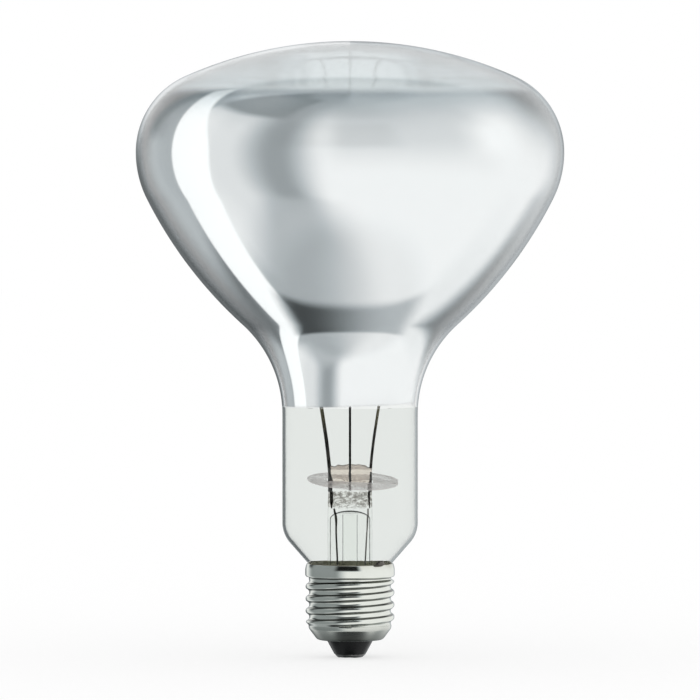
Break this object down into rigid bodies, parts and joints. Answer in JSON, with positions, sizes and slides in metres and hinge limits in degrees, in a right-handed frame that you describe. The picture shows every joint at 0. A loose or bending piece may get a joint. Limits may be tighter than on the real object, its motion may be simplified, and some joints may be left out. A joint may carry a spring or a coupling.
{
  "type": "reflector bulb",
  "caption": "Blown glass reflector bulb with a mirrored bowl, clear neck and dome, mounted stem inside and a screw cap with a centre contact.",
  "frame": {"origin": "middle of the flat end of the centre contact, on the axis of the screw cap", "axes": "+Z along the lamp's axis from the cap to the dome, +X along the wide side of the stem's press"},
  "size_m": [0.127, 0.127, 0.1829],
  "materials": {
    "clear_glass": "gloss",
    "mirror_metal": "mirror",
    "plated_brass": "satin",
    "black_glass": "gloss",
    "contact_metal": "matte",
    "solder": "satin",
    "cement": "matte",
    "mica": "satin",
    "lead_wire": "satin",
    "tungsten": "matte"
  },
  "bodies": {
    "root": {"glass_envelope": "clear_glass", "mirror_film": "mirror_metal", "screw_shell": "plated_brass", "insulator": "black_glass", "centre_contact": "contact_metal", "contact_solder": "solder", "side_solder": "solder", "cap_cement": "cement", "stem": "clear_glass", "exhaust_tube": "clear_glass", "heat_shield": "mica", "outer_lead_left": "lead_wire", "outer_lead_right": "lead_wire", "seal_wire_left": "lead_wire", "seal_wire_right": "lead_wire", "inner_lead_left": "lead_wire", "inner_lead_right": "lead_wire", "centre_support": "lead_wire", "filament": "tungsten"}
  },
  "joints": []
}
